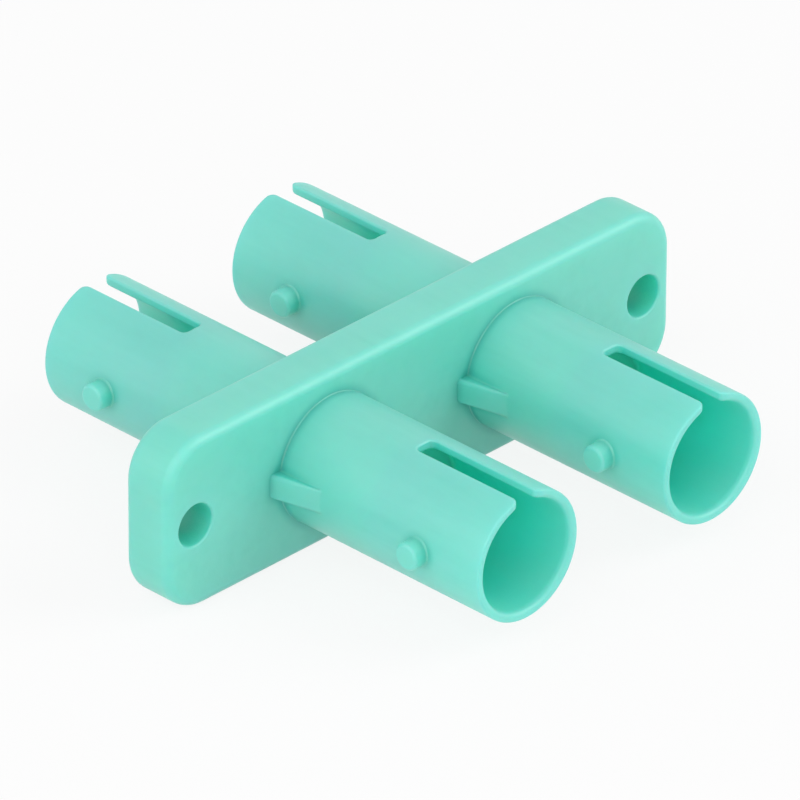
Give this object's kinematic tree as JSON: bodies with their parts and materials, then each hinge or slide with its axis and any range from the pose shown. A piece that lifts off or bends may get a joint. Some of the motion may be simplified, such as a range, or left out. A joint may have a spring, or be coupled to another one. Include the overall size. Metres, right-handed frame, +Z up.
{
  "type": "st fibre adapter",
  "caption": "Flanged duplex fibre adapter: one aqua moulding with slotted bayonet barrels on both faces and slit ceramic sleeves inside that line up the ferrules.",
  "frame": {"origin": "middle of the flange, halfway between the two fibre passages, at half the flange's thickness", "axes": "+X along the flange, +Y along the fibre passages towards the back, where the retaining rings are, +Z up, towards the key slots"},
  "size_m": [0.0344, 0.029, 0.0092],
  "materials": {
    "aqua_plastic": "satin moulded plastic, aqua",
    "white_ceramic": "ground and polished, off-white"
  },
  "bodies": {
    "root": {"adapter_body": "aqua_plastic", "alignment_sleeve_left": "white_ceramic", "alignment_sleeve_right": "white_ceramic", "sleeve_retainer_left": "aqua_plastic", "sleeve_retainer_right": "aqua_plastic"}
  },
  "joints": []
}
